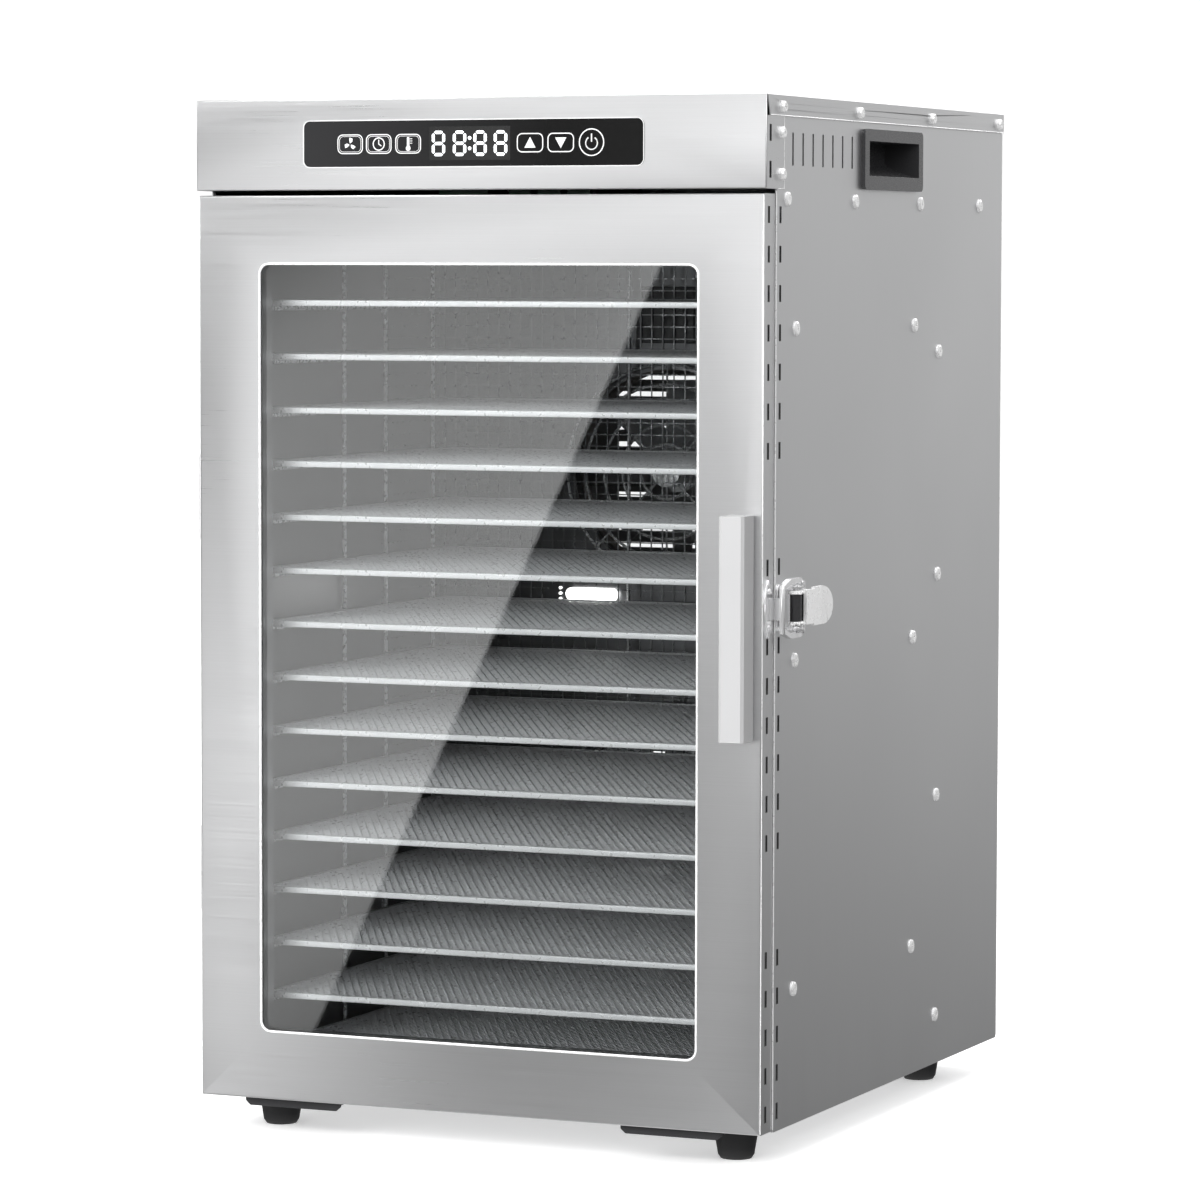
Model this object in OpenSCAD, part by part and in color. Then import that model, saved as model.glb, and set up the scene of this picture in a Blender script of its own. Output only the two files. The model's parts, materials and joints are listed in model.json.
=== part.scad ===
// Cabinet food dehydrator: sixteen mesh trays slide on two wire racks in a
// double-walled steel cabinet. Two rear fans with ring heaters blow air over
// them. A glazed door hangs on two butt hinges on the left side and is held
// shut by a draw latch on the right side. Millimetres, +Z up, front faces -Y.

/* [Cabinet] */
// Overall width of the cabinet body
body_w = 458; // [440:1:480]
// Depth from the door's front face to the rear panel
body_d = 522; // [500:1:560]
// Height of the cabinet body above its feet
body_h = 750; // [748:1:760]
// Thickness of the sheet steel
sheet = 1; // [0.8:0.1:1.2]
// Height of the rubber feet
foot_h = 26; // [20:1:35]
// Gap between the outer side panel and the chamber wall
wall_gap = 23; // [20:1:26]

/* [Door] */
// Thickness of the door pan
door_t = 22; // [20:0.5:22]
// Height of the door
door_h = 678; // [670:1:678]
// Width of the glazed window
window_w = 353.5; // [300:0.5:360]
// Height of the glazed window
window_h = 576; // [500:1:580]
// Height of the window's lower edge
window_z = 52.3; // [45:0.1:60]
// Thickness of the glass
glass_t = 4; // [3:0.5:5]

/* [Trays] */
// Number of trays
tray_count = 16; // [16:1:16]
// Height from one tray to the next
tray_pitch = 40.3; // [38:0.1:40.3]
// Height of the lowest tray
first_tray_z = 34.7; // [30:0.1:38]
// Width of a tray
tray_w = 381; // [370:1:384]
// Depth of a tray
tray_d = 322; // [300:1:324]
// Thickness of a tray's rim
tray_rim = 4.5; // [4:0.1:5]
// Distance between the wires of a tray's floor
tray_wire_pitch = 12; // [10:1:20]

/* [Controls] */
// Height of the control panel's lower edge
fascia_z = 682.5; // [682:0.5:684]
// Width of the glossy control overlay
overlay_w = 274; // [240:1:280]
// Height of the glossy control overlay
overlay_h = 35; // [30:1:40]

/* [Handle and latch] */
// Height of the door's pull handle
pull_h = 162; // [120:1:180]
// How far the pull handle stands out
pull_out = 22; // [18:1:26]
// Height of the latch on the right side
latch_z = 381; // [360:1:400]

/* [Air system] */
// Outside diameter of a fan wheel
fan_d = 150; // [120:1:160]
// Number of blades on a fan wheel
fan_blades = 8; // [5:1:9]
// Height of the lower fan's axis
fan_low_z = 190; // [170:1:200]
// Height of the upper fan's axis
fan_high_z = 463; // [440:1:480]

/* [Hidden] */
$fn = 32;
eps = 0.05;

// Outer reach of the latch and hinges past the cabinet's two sides
latch_out = 17.6;
hinge_out = 6.9;
rear_out = 3;

// Outer faces and inner faces of the side panels
side_out = sheet;
side_in = 2 * sheet;
panel_y0 = 22.5;
panel_y1 = body_d - sheet;
panel_top = body_h - 2 * sheet;

// Chamber
wall_x = side_in + wall_gap;
floor_z = 15;
ceiling_z = 666;
partition_y = 371;
frame_y = panel_y0 + sheet;

// Door
door_x0 = 2;
door_x1 = body_w - 2;
door_z0 = 1;
door_z1 = door_z0 + door_h;
window_x = (body_w - window_w) / 2;
window_r = 8;
inner_y = door_t - 1.5;

// Slots for moist air along the front edges
slot_l = 12;
slot_t = 2;
slot_heights = concat(
    [for (i = [0:6]) 664 - 28.2 * i],
    [for (i = [0:7]) if (i != 1) 411 - 28.4 * i],
    [for (i = [0:4]) 127.3 - 28.1 * i]
);

// Screws: heads, shanks and holes
screw_r = 2;
screw_hole_r = 2.2;
head_r = 4;
head_h = 2.4;
lid_head_r = 4.3;
lid_head_h = 3.2;
flat_head_r = 5.3;
flat_head_h = 1.7;
shank_l = 7;
lid_screw_y = [30, 188.5, 348.5, 508];
lid_screw_z = 741.3;
bay_screw_y = [44, 183.5, 326.6, 465.4];
bay_screw_z = 675.3;
rack_screw_y = [62, 315];
rack_screw_z = [100, 341, 582];
partition_screw_z = [39, 213, 387, 561];
rear_screw_x = 7;
rear_screw_z = [40, 240, 480, 715];
base_screw_x = [100, body_w / 2, body_w - 100];
base_screw_z = 12;
fascia_screw_y = 28.3;
fascia_screw_z = [693, 722.7];

// Pull handle
pull_z = 368;
pull_screw_x = 438;
pull_screw_z = [pull_z - 66, pull_z + 66];

// Hinges
hinge_x = -3.1;
hinge_y = 22.25;
knuckle_r = 3.8;
hinge_pin_r = 1.8;
hinge_pin_hole_r = 1.85;
hinge_h = 64;
hinge_z = [141, 421];
knuckle_l = hinge_h / 3;
hinge_screw_y = 41;
hinge_door_screw_y = 12;
hinge_screw_z = [for (z = hinge_z, dz = [12, hinge_h - 12]) z + dz];

// Latch: pivot and link positions, measured out from the right side panel
latch_u0 = body_w - side_out;
pivot_u = 10;
pivot_y = 38;
link_u = 9.2;
link_y = 49.5;
bar_y = 13.5;
bar_r = 2.2;
latch_pin_r = 2;
latch_hole_r = 2.05;
link_pin_r = 1.5;
link_hole_r = 1.55;
tab_u = 13;
tab_t = 2.4;
tab_bend_y = 77;
tab_half = 14;

// Carry handles let into the two sides
grip_y0 = 195.5;
grip_y1 = 323.5;
grip_z0 = 684.7;
grip_z1 = 730;
grip_rim = 9.5;
grip_lip = 7;

// Fans
fan_x = body_w / 2;
fan_y = 400;
shaft_r = 4;
shaft_hole_r = 4.06;
guard_d = 176;
guard_off = 6;
stay_dx = 30.5;

// Plate turned down from the rear of the chamber's ceiling
deflector_x0 = 94;
deflector_z0 = 612;

// Wire screen across the rear of the tray space
screen_y = 357.3;
screen_pitch = 19.2;
screen_wire = 1;
screen_rail_z = [30, 242, 454, 645];

// Route of the wiring
wire_x = 70;
wire_y = 462;
bay_wire_z = 684;
touch_wire_x = 295;
touch_wire_z = 702;

// The origin is on the floor at the middle of the whole footprint
origin_x = -body_w / 2 - (latch_out - hinge_out) / 2;
origin_y = -body_d / 2 + (pull_out - rear_out) / 2;

// ---- Helpers -------------------------------------------------------------

// Moves cabinet coordinates (left, door front, body bottom) to the row frame
module place() {
    translate([origin_x, origin_y, foot_h]) children();
}

// Box between two opposite corners
module box(lo, hi) {
    translate(lo) cube(hi - lo);
}

// Mirrors what belongs to the left side to the right side
module right_side() {
    translate([body_w, 0, 0]) mirror([1, 0, 0]) children();
}

module rod_x(x0, x1, y, z, r) {
    translate([x0, y, z]) rotate([0, 90, 0]) cylinder(h = x1 - x0, r = r);
}

module rod_y(x, y0, y1, z, r) {
    translate([x, y1, z]) rotate([90, 0, 0]) cylinder(h = y1 - y0, r = r);
}

module rod_z(x, y, z0, z1, r) {
    translate([x, y, z0]) cylinder(h = z1 - z0, r = r);
}

// Flat outline with round corners
module round_rect(w, h, r) {
    translate([r, 0]) square([w - 2 * r, h]);
    translate([0, r]) square([w, h - 2 * r]);
    for (x = [r, w - r], y = [r, h - r]) translate([x, y]) circle(r);
}

// Upright plate in the X-Z plane with round corners
module front_plate(x, z, w, h, r, y, t) {
    translate([x, y + t, z]) rotate([90, 0, 0]) linear_extrude(t) round_rect(w, h, r);
}

// Upright plate in the Y-Z plane with round corners
module side_plate(x, y, z, d, h, r, t) {
    translate([x, y, z]) rotate([90, 0, 90]) linear_extrude(t) round_rect(d, h, r);
}

// Pan-head screw through the left side, its head on the plane x
module side_screw(x, y, z, l = shank_l, r = head_r, h = head_h) {
    rod_x(x, x + l, y, z, screw_r);
    translate([x, y, z]) rotate([0, -90, 0]) difference() {
        union() {
            cylinder(h = h * 0.6, r = r);
            translate([0, 0, h * 0.6]) cylinder(h = h * 0.4, r1 = r, r2 = r * 0.75);
        }
        for (a = [0, 90]) rotate(a) translate([-1.8, -0.45, h - 0.8]) cube([3.6, 0.9, 2]);
    }
}

// Pan-head screw through the rear panel, its head on the plane y
module rear_screw(x, y, z, l = shank_l) {
    translate([x, y, z]) rotate([0, 0, -90]) side_screw(0, 0, 0, l);
}

// Flat-headed screw in a side panel
module flat_screw(y, z) {
    side_screw(side_out, y, z, shank_l, flat_head_r, flat_head_h);
}

// High-headed screw in the lid's or the control panel's side flange
module high_screw(y, z) {
    side_screw(0, y, z, shank_l, lid_head_r, lid_head_h);
}

// Column of upright slots cut through a side sheet at depth y
module slot_column(y) {
    for (z = slot_heights) box([-1, y - slot_t / 2, z - slot_l / 2], [4, y + slot_t / 2, z + slot_l / 2]);
}

// ---- Cabinet shell -------------------------------------------------------

module side_sheet() {
    flange_x = side_in + 10;
    difference() {
        union() {
            box([side_out, panel_y0, 0], [side_in, panel_y1, panel_top]);
            box([side_out, panel_y0, sheet], [flange_x, panel_y0 + sheet, fascia_z - 4]);
            box([side_out, panel_y0, sheet], [flange_x, panel_y1, 2 * sheet]);
            box([side_out, panel_y1 - sheet, sheet], [flange_x, panel_y1, 730]);
        }
        slot_column(30);
        for (i = [0:6]) {
            vent_y = 54.3 + 20.3 * i;
            box([-1, vent_y - 1.5, 699.7], [4, vent_y + 1.5, 723.4]);
        }
        box([-1, grip_y0 + 5, grip_z0 + 5], [4, grip_y1 - 5, grip_z1 - 5]);
        for (y = lid_screw_y) rod_x(0, 4, y, lid_screw_z, screw_hole_r);
        for (y = bay_screw_y) rod_x(0, 4, y, bay_screw_z, screw_hole_r);
        for (y = rack_screw_y, z = rack_screw_z) rod_x(0, 4, y, z, screw_hole_r);
        for (z = partition_screw_z) rod_x(0, 4, partition_y, z, screw_hole_r);
        for (z = fascia_screw_z) rod_x(0, 4, fascia_screw_y, z, screw_hole_r);
        for (z = rear_screw_z) rod_y(rear_screw_x, panel_y1 - 4, panel_y1 + 4, z, screw_hole_r);
    }
}

module left_side_panel() {
    color([0.66, 0.67, 0.68]) place() difference() {
        side_sheet();
        for (z = hinge_screw_z) rod_x(0, 4, hinge_screw_y, z, screw_hole_r);
    }
}

module right_side_panel() {
    color([0.66, 0.67, 0.68]) place() right_side() side_sheet();
}

// One side flange of the lid, with its front lower corner cut off
module lid_flange() {
    difference() {
        rotate([90, 0, 90]) linear_extrude(sheet)
            polygon([[2, body_h], [7, 735], [body_d, 735], [body_d, body_h]]);
        for (y = lid_screw_y) rod_x(-1, 4, y, lid_screw_z, screw_hole_r);
    }
}

module top_cover() {
    color([0.78, 0.79, 0.8]) place() {
        box([0, sheet, body_h - sheet], [body_w, body_d, body_h]);
        lid_flange();
        right_side() lid_flange();
    }
}

module back_panel() {
    color([0.6, 0.61, 0.62]) place() difference() {
        box([side_in, body_d - sheet, 0], [body_w - side_in, body_d, body_h - sheet]);
        for (z = [120:14:260], x = [120, 250]) box([x, body_d - 4, z], [x + 90, body_d + 4, z + 4]);
        for (z = [393:14:533], x = [120, 250]) box([x, body_d - 4, z], [x + 90, body_d + 4, z + 4]);
        box([48, body_d - 4, 60.5], [82, body_d + 4, 86.5]);
        for (x = [rear_screw_x, body_w - rear_screw_x], z = rear_screw_z)
            rod_y(x, body_d - 4, body_d + 4, z, screw_hole_r);
        for (x = base_screw_x) rod_y(x, body_d - 4, body_d + 4, base_screw_z, screw_hole_r);
    }
}

module bottom_panel() {
    color([0.6, 0.61, 0.62]) place() difference() {
        union() {
            box([side_in, frame_y, 0], [body_w - side_in, body_d - sheet, sheet]);
            box([side_in + 10.5, body_d - 2 * sheet, 0], [body_w - side_in - 10.5, body_d - sheet, 20]);
        }
        for (x = base_screw_x) rod_y(x, body_d - 4, body_d, base_screw_z, screw_hole_r);
        foot_places() cylinder(h = 8, r = screw_hole_r, center = true);
    }
}

// ---- Chamber -------------------------------------------------------------

module front_frame() {
    color([0.7, 0.71, 0.72]) place() difference() {
        box([side_in, frame_y, 2 * sheet], [body_w - side_in, frame_y + sheet, fascia_z - 4]);
        box([wall_x, frame_y - 1, floor_z], [body_w - wall_x, frame_y + 3, ceiling_z]);
    }
}

// One wall of the chamber, with the ribs that hold it off the side panel.
// The ribs are pieces of their own, a hair clear of the wall.
module chamber_wall() {
    difference() {
        union() {
            box([wall_x, frame_y + sheet, floor_z], [wall_x + sheet, body_d - sheet - 1, ceiling_z]);
            for (y = concat(rack_screw_y, [partition_y])) {
                box([side_in, y + 7, 24], [wall_x - eps, y + 7 + sheet, ceiling_z - 10]);
                box([side_in, y - 7, 24], [side_in + sheet, y + 7 + sheet, ceiling_z - 10]);
            }
        }
        for (y = rack_screw_y, z = rack_screw_z) rod_x(0, 4, y, z, screw_hole_r);
        for (z = partition_screw_z) rod_x(0, 4, partition_y, z, screw_hole_r);
    }
}

module chamber_wall_left() {
    color([0.35, 0.35, 0.36]) place() chamber_wall();
}

module chamber_wall_right() {
    color([0.35, 0.35, 0.36]) place() right_side() chamber_wall();
}

// Ceiling with a plate turned down in front of the partition's upper edge
module chamber_ceiling() {
    y0 = frame_y + sheet;
    y1 = body_d - 2 * sheet;
    color([0.38, 0.38, 0.39]) place() difference() {
        union() {
            box([side_in, y0, ceiling_z], [body_w - side_in, y1, ceiling_z + sheet]);
            box([deflector_x0, partition_y - 4, deflector_z0],
                [body_w - wall_x - sheet, partition_y - 3, ceiling_z + sheet]);
            for (x = [side_in, body_w - side_in - sheet])
                box([x, y0, ceiling_z], [x + sheet, y1, fascia_z - 1]);
        }
        for (y = bay_screw_y) rod_x(-1, body_w + 1, y, bay_screw_z, screw_hole_r);
        box([60, 440, ceiling_z - 1], [80, 470, ceiling_z + 2]);
    }
}

module chamber_floor() {
    color([0.38, 0.38, 0.39]) place() {
        box([wall_x, frame_y + sheet, floor_z - sheet], [body_w - wall_x, body_d - 3 * sheet, floor_z]);
        for (y = [frame_y + 2 * sheet, body_d - 22])
            box([wall_x + 20, y, sheet], [body_w - wall_x - 20, y + sheet, floor_z - sheet]);
    }
}

module rear_partition() {
    x0 = wall_x + sheet;
    x1 = body_w - wall_x - sheet;
    color([0.3, 0.3, 0.31]) place() difference() {
        union() {
            box([x0, partition_y, floor_z], [x1, partition_y + sheet, ceiling_z]);
            for (x = [x0, x1 - sheet])
                box([x, partition_y, floor_z], [x + sheet, partition_y + 14, ceiling_z]);
        }
        for (z = [fan_low_z, fan_high_z])
            rod_y(fan_x, partition_y - 1, partition_y + 2, z, guard_d / 2 - 6);
        for (z = [60:24:640], x = [wall_x + 20, body_w - wall_x - 60])
            box([x, partition_y - 1, z], [x + 40, partition_y + 2, z + 5]);
    }
}

// Rings, spokes and feet of one fan's wire guard, standing off the partition
module fan_guard(z) {
    guard_r = guard_d / 2;
    translate([fan_x, partition_y - guard_off, z]) rotate([90, 0, 0]) {
        for (r = [guard_r - 2 : -16 : 20]) rotate_extrude($fn = 64) translate([r, 0]) circle(1.2, $fn = 16);
        cylinder(h = 2, r = 12, center = true);
        for (a = [0:45:315]) rotate(a) {
            translate([0, -0.9, -2.6]) cube([guard_r, 1.8, 1.8]);
            translate([guard_r - 3, -0.9, -guard_off]) cube([3, 1.8, guard_off - 1]);
        }
    }
}

// Wire screen behind the trays: upright wires, and rails from wall to wall
module screen() {
    rail_y = screen_y + screen_wire + eps;
    for (i = [-10 : 10]) {
        x = fan_x + screen_pitch * i;
        box([x - screen_wire / 2, screen_y, 18], [x + screen_wire / 2, screen_y + screen_wire, 664]);
    }
    for (z = screen_rail_z)
        box([wall_x + sheet, rail_y, z], [body_w - wall_x - sheet, rail_y + screen_wire, z + 2]);
}

// Two upright stays welded to the back of the screen's rails
module screen_stays() {
    stay_r = 1.5;
    stay_y = screen_y + 2 * screen_wire + 2 * eps + stay_r;
    for (x = [fan_x - stay_dx, fan_x + stay_dx]) rod_z(x, stay_y, 20, 660, stay_r);
}

module fan_guards() {
    color([0.75, 0.76, 0.77]) place() {
        fan_guard(fan_low_z);
        fan_guard(fan_high_z);
        screen();
        screen_stays();
    }
}

// Wire rack for one side: four uprights on stand-offs, and a runner for each
// tray whose four short arms end just clear of the uprights
module rack() {
    runner_r = 1.6;
    upright_x = wall_x + 4;
    upright_y = [44, 190, 264, 352];
    for (y = upright_y) {
        rod_z(upright_x, y, 17, 655, runner_r);
        for (z = [110, 350, 590]) box([wall_x + sheet, y - 1.2, z], [upright_x, y + 1.2, z + 12]);
    }
    for (k = [0 : tray_count - 1]) {
        z = first_tray_z + tray_pitch * k - tray_rim / 2 - runner_r - 0.3;
        rod_y(wall_x + 16, 38, 357, z, runner_r);
        for (y = upright_y) box([upright_x + runner_r + eps, y - 1, z - 1], [wall_x + 16, y + 1, z + 1]);
    }
}

module rack_left() {
    color([0.8, 0.81, 0.82]) place() rack();
}

module rack_right() {
    color([0.8, 0.81, 0.82]) place() right_side() rack();
}

// ---- Air system ----------------------------------------------------------

module heater_rings() {
    color([0.45, 0.44, 0.43]) place() for (z = [fan_low_z, fan_high_z]) {
        translate([fan_x, fan_y - 6, z]) rotate([90, 0, 0])
            rotate_extrude($fn = 64) translate([fan_d / 2 + 9, 0]) circle(3.2, $fn = 16);
        for (x = [-1, 1]) rod_y(fan_x + x * (fan_d / 2 + 9), fan_y - 6, 452, z, 3);
    }
}

// Fan wheel on its shaft; the shaft turns in the motor's bore
module fan(z) {
    translate([fan_x, fan_y, z]) rotate([90, 0, 0]) {
        cylinder(h = 16, r = 17, center = true);
        for (i = [0 : fan_blades - 1])
            rotate(i * 360 / fan_blades) translate([14, 0, 0]) rotate([32, 0, 0])
                translate([0, -13, -0.6]) cube([fan_d / 2 - 16, 26, 1.2]);
    }
    rod_y(fan_x, fan_y, 470, z, shaft_r);
}

module fan_upper() {
    color([0.72, 0.73, 0.74]) place() fan(fan_high_z);
}

module fan_lower() {
    color([0.72, 0.73, 0.74]) place() fan(fan_low_z);
}

// Motor with its coil pack and the bracket that spans the chamber
module fan_motor(z) {
    difference() {
        union() {
            rod_y(fan_x, 428, 480, z, 24);
            box([fan_x - 40, 440, z - 24], [fan_x + 40, 466, z + 24]);
            box([wall_x + sheet, 452, z - 16], [body_w - wall_x - sheet, 454, z + 16]);
        }
        rod_y(fan_x, 420, 471, z, shaft_hole_r);
        for (x = [-1, 1]) rod_y(fan_x + x * (fan_d / 2 + 9), 448, 456, z, 3.2);
    }
}

module fan_motors() {
    color([0.25, 0.25, 0.26]) place() {
        fan_motor(fan_low_z);
        fan_motor(fan_high_z);
    }
}

// Leads from the inlet up to the power board, with a branch to each motor
module wiring_harness() {
    color([0.15, 0.15, 0.15]) place() {
        rod_z(wire_x, wire_y, 73.5, bay_wire_z, 3.5);
        rod_y(wire_x, wire_y, body_d - 24, 73.5, 3.5);
        rod_y(wire_x, 130, wire_y, bay_wire_z, 3.5);
        rod_x(wire_x, 163, 130, bay_wire_z, 3);
        for (z = [fan_low_z, fan_high_z]) rod_x(wire_x, fan_x - 40, wire_y - 2, z, 2.5);
        rod_y(touch_wire_x, 13.6, 70, touch_wire_z, 2);
        rod_z(touch_wire_x, 70, 677.6, touch_wire_z, 2);
        translate([touch_wire_x, 70, touch_wire_z]) sphere(2);
        for (p = [[wire_x, wire_y, 73.5], [wire_x, wire_y, bay_wire_z], [wire_x, 130, bay_wire_z]])
            translate(p) sphere(3.5);
    }
}

module interior_lamp() {
    color([0.97, 0.97, 0.95]) place() {
        front_plate(141, 358, 44, 10, 4.9, partition_y - 5, 5);
        box([146, partition_y - 7, 360.5], [180, partition_y - 5, 365.5]);
    }
}

module sensor_box() {
    color([0.08, 0.08, 0.08]) place() box([209, partition_y - 11.5, 566], [255, partition_y, 611]);
}

// ---- Controls ------------------------------------------------------------

// Side flange of the control panel, with two slots and two screw holes
module fascia_flange() {
    difference() {
        box([0, 0, fascia_z], [sheet, 34.5, 734.6]);
        for (z = [696.2, 722.4])
            box([-1, 7.5 - slot_t / 2, z - slot_l / 2], [3, 7.5 + slot_t / 2, z + slot_l / 2]);
        for (z = fascia_screw_z) rod_x(-1, 4, fascia_screw_y, z, screw_hole_r);
    }
}

module control_fascia() {
    color([0.76, 0.77, 0.78]) place() {
        difference() {
            box([0, 0, fascia_z], [body_w, sheet, body_h - eps]);
            box([fan_x - 110, -1, 702], [fan_x + 110, 3, 730]);
        }
        fascia_flange();
        right_side() fascia_flange();
        box([0, 0, fascia_z], [body_w, 20, fascia_z + sheet]);
    }
}

module control_overlay() {
    color([0.03, 0.03, 0.03]) place()
        front_plate((body_w - overlay_w) / 2 - 2.5, 699, overlay_w, overlay_h, 5.5, -0.6, 0.6);
}

module display_module() {
    color([0.1, 0.1, 0.11]) place() {
        box([192, 1.6, 703], [262, 12, 729]);
        for (x = [129, 153, 177, 275.4, 299.4, 323.7]) rod_y(x, 4, 12, 716, 5);
    }
}

module control_board() {
    color([0.12, 0.35, 0.2]) place() {
        box([110, 12, 696], [345, 13.6, 734]);
        box([150, 60, 676], [310, 160, 677.6]);
        for (x = [154, 306], y = [64, 156]) rod_z(x, y, ceiling_z + sheet, 676, 3);
        box([165, 75, 677.6], [205, 110, 705]);
        for (x = [220, 244, 268]) box([x, 80, 677.6], [x + 18, 96, 693]);
        rod_z(180, 136, 677.6, 700, 9);
        rod_z(212, 136, 677.6, 697, 7);
        box([232, 128, 677.6], [300, 146, 689]);
    }
}

module power_inlet() {
    color([0.08, 0.08, 0.08]) place() difference() {
        union() {
            box([40, body_d, 56], [90, body_d + 3, 91]);
            box([48.3, body_d - 24, 60.8], [81.7, body_d, 86.2]);
        }
        box([52, body_d - 18, 64], [78, body_d + 4, 83]);
    }
}

// ---- Door ----------------------------------------------------------------

module door_skin() {
    color([0.78, 0.79, 0.8]) place() difference() {
        box([door_x0, 0, door_z0], [door_x1, door_t, door_z1]);
        box([door_x0 + sheet, sheet, door_z0 + sheet], [door_x1 - sheet, door_t + 1, door_z1 - sheet]);
        front_plate(window_x, window_z, window_w, window_h, window_r, -1, 4);
        for (x = [0, body_w - 4]) translate([x, 0, 0]) slot_column(10);
        for (z = pull_screw_z) rod_y(pull_screw_x, -1, 3, z, screw_hole_r);
        for (z = hinge_screw_z) rod_x(0, 4, hinge_door_screw_y, z, screw_hole_r);
    }
}

// Inner frame: clamps the glass and closes the back of the door pan
module door_inner_frame() {
    wall_in = sheet + glass_t + 0.2;
    color([0.5, 0.51, 0.52]) place() difference() {
        union() {
            box([door_x0 + sheet, inner_y, door_z0 + sheet],
                [door_x1 - sheet, inner_y + sheet, door_z1 - sheet]);
            box([window_x - 1.5, wall_in, window_z - 1.5],
                [window_x + window_w + 1.5, inner_y, window_z + window_h + 1.5]);
        }
        box([window_x, wall_in - 1, window_z], [window_x + window_w, door_t + 1, window_z + window_h]);
    }
}

module door_glass() {
    color([0.4, 0.45, 0.45, 0.35]) place()
        front_plate(window_x - 14, window_z - 14, window_w + 28, window_h + 28, 4, sheet + 0.1, glass_t);
}

module door_gasket() {
    color([0.1, 0.1, 0.1]) place() difference() {
        box([13, inner_y + sheet, 4], [body_w - 13, frame_y - 0.3, 676]);
        box([22, inner_y, 13], [body_w - 22, frame_y + 1, 668]);
    }
}

// Pull handle: foot flange on the door, web and grip lip, open to the left
module door_handle() {
    color([0.93, 0.93, 0.92]) place() difference() {
        translate([0, 0, pull_z - pull_h / 2]) linear_extrude(pull_h) polygon([
            [430, 0], [448, 0], [450, -2], [450, 2 - pull_out], [448, -pull_out], [433, -pull_out],
            [431, 1 - pull_out], [431, 4 - pull_out], [434, 4 - pull_out], [444, 4 - pull_out],
            [446, 6 - pull_out], [446, -5], [444, -3], [430, -3]
        ]);
        for (z = pull_screw_z) rod_y(pull_screw_x, -2.9, 1, z, screw_r + eps);
    }
}

// ---- Hinges --------------------------------------------------------------

// Knuckles of one hinge: the door has the middle one, the cabinet the others
module knuckle(z0, z1) {
    difference() {
        rod_z(hinge_x, hinge_y, z0, z1, knuckle_r);
        rod_z(hinge_x, hinge_y, z0 - 1, z1 + 1, hinge_pin_hole_r);
    }
}

// Room that a leaf leaves around the other leaf's knuckles
module knuckle_relief(z0, z1) {
    rod_z(hinge_x, hinge_y, z0, z1, knuckle_r + 0.4);
}

module hinge_leaves_cabinet() {
    color([0.8, 0.81, 0.82]) place() for (z = hinge_z) {
        knuckle(z, z + knuckle_l - 0.2);
        knuckle(z + 2 * knuckle_l + 0.2, z + hinge_h);
        difference() {
            box([-1, hinge_y + 0.75, z], [side_out, 50, z + hinge_h]);
            knuckle_relief(z + knuckle_l - 0.5, z + 2 * knuckle_l + 0.5);
            rod_z(hinge_x, hinge_y, z - 1, z + hinge_h + 1, hinge_pin_hole_r);
            for (s = hinge_screw_z) rod_x(-3, 3, hinge_screw_y, s, screw_hole_r);
        }
    }
}

module hinge_leaves_door() {
    color([0.8, 0.81, 0.82]) place() for (z = hinge_z) {
        knuckle(z + knuckle_l + 0.2, z + 2 * knuckle_l - 0.2);
        difference() {
            box([-0.6, 4, z], [door_x0, hinge_y - 0.75, z + hinge_h]);
            knuckle_relief(z - 1, z + knuckle_l + 0.2);
            knuckle_relief(z + 2 * knuckle_l - 0.2, z + hinge_h + 1);
            for (s = hinge_screw_z) rod_x(-3, 4, hinge_door_screw_y, s, screw_hole_r);
        }
    }
}

module hinge_pins() {
    color([0.85, 0.86, 0.87]) place() for (z = hinge_z) {
        rod_z(hinge_x, hinge_y, z - 0.4, z + hinge_h + 0.4, hinge_pin_r);
        rod_z(hinge_x, hinge_y, z + hinge_h, z + hinge_h + 1.4, hinge_pin_r + 1);
        rod_z(hinge_x, hinge_y, z - 1.4, z, hinge_pin_r + 1);
    }
}

// ---- Latch ---------------------------------------------------------------

// Latch coordinates: u outward from the side panel, y backward, z up
module latch_frame() {
    translate([latch_u0, 0, latch_z]) children();
}

module latch_base() {
    color([0.85, 0.86, 0.87]) place() latch_frame() {
        side_plate(0, 24.5, -17, 38, 34, 4, 1.5);
        for (z = [-9, 9]) rod_x(1.5, 2.6, 57, z, 3);
        for (z = [-16, 14]) translate([0, 0, z]) {
            translate([pivot_u, pivot_y, 0]) cylinder(h = 2, r = 5.5);
            translate([1.5, pivot_y - 7, 0]) cube([pivot_u - 1.5, 12.5, 2]);
        }
        rod_z(pivot_u, pivot_y, -16.8, 16.8, latch_pin_r);
    }
}

// Cheek of the lever: holds the pivot bore and the link bore
module lever_cheek() {
    translate([pivot_u, pivot_y]) circle(5.4);
    translate([link_u, link_y]) circle(4.4);
    polygon([
        [pivot_u - 4.6, pivot_y + 2], [link_u - 4.2, link_y], [link_u + 2, link_y + 4], [13.2, link_y + 8],
        [13.2, pivot_y + 8], [pivot_u + 3, pivot_y + 4.4]
    ]);
}

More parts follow.
